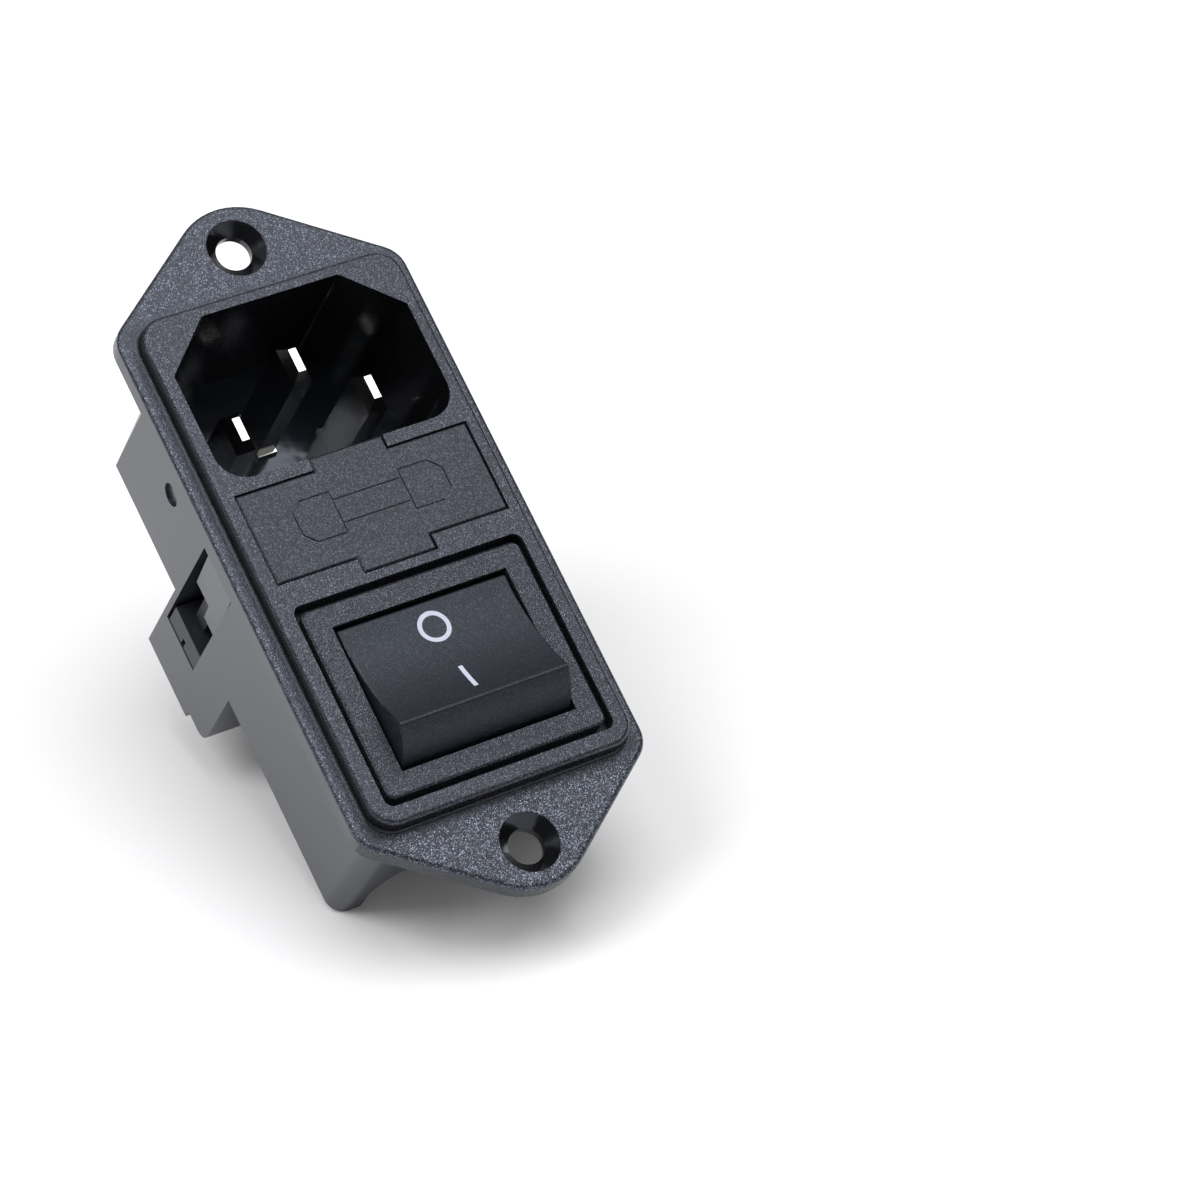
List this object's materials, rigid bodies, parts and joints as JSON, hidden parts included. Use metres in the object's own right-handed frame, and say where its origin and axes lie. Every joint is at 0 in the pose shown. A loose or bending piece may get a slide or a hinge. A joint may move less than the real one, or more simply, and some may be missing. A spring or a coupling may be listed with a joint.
{
  "type": "appliance inlet with fuse drawer and rocker switch",
  "caption": "Panel-mounted power inlet: black moulded flange with screw ears, earthed blade connector, pull-out fuse drawer and rocker switch, with rear tabs.",
  "frame": {"origin": "centre of the flange's rear face, midway between the two screw holes, in the panel's plane", "axes": "+Z out of the front towards the user, +Y towards the connector end, +X across the width"},
  "size_m": [0.0304, 0.0724, 0.0409],
  "materials": {
    "housing_plastic": "fine spark-eroded grain",
    "drawer_plastic": "fine satin grain",
    "switch_plastic": "fine spark-eroded grain",
    "rocker_plastic": "smooth satin",
    "insert_plastic": "satin",
    "pin_nickel": "bright nickel plate",
    "terminal_brass": "tin-plated brass",
    "contact_silver": "silver alloy",
    "spring_steel": "drawn wire",
    "fuse_glass": "clear",
    "fuse_cap_nickel": "nickel plate",
    "plunger_brass": "turned"
  },
  "bodies": {
    "housing": {"housing": "housing_plastic", "pin_line": "pin_nickel", "pin_neutral": "pin_nickel", "pin_earth": "pin_nickel", "line_link": "terminal_brass", "fuse_clip_left": "terminal_brass", "fuse_clip_right": "terminal_brass", "terminal_carrier": "insert_plastic", "switch_frame": "switch_plastic", "switch_base": "insert_plastic", "common_terminal_left": "terminal_brass", "common_terminal_right": "terminal_brass", "load_terminal_left": "terminal_brass", "load_terminal_right": "terminal_brass", "fixed_contact_left": "contact_silver", "fixed_contact_right": "contact_silver"},
    "drawer": {"fuse_drawer": "drawer_plastic", "fuse_glass": "fuse_glass", "fuse_cap_left": "fuse_cap_nickel", "fuse_cap_right": "fuse_cap_nickel", "fuse_wire": "spring_steel"},
    "rocker": {"rocker": "rocker_plastic", "plunger_left": "plunger_brass", "plunger_right": "plunger_brass", "spring_left": "spring_steel", "spring_right": "spring_steel"},
    "bridge_left": {"contact_bridge_left": "terminal_brass", "moving_contact_left": "contact_silver"},
    "bridge_right": {"contact_bridge_right": "terminal_brass", "moving_contact_right": "contact_silver"}
  },
  "joints": [
    {"name": "drawer_slide", "type": "slide", "parent": "housing", "child": "drawer", "axis": [0, 0, 1], "range_m": [0, 0.02]},
    {"name": "rocker_hinge", "type": "hinge", "parent": "housing", "child": "rocker", "pos_m": [0, -0.0146, 0.0014], "axis": [1, 0, 0], "range_deg": [0, 35]},
    {"name": "bridge_left_tilt", "type": "hinge", "parent": "housing", "child": "bridge_left", "pos_m": [-0.00475, -0.0146, -0.0066], "axis": [1, 0, 0], "range_deg": [-16, 0]},
    {"name": "bridge_right_tilt", "type": "hinge", "parent": "housing", "child": "bridge_right", "pos_m": [0.00475, -0.0146, -0.0066], "axis": [1, 0, 0], "range_deg": [-16, 0]}
  ],
  "couplings": [
    {"joint": "bridge_left_tilt", "follows": "rocker_hinge", "ratio": -0.45714},
    {"joint": "bridge_right_tilt", "follows": "rocker_hinge", "ratio": -0.45714}
  ]
}
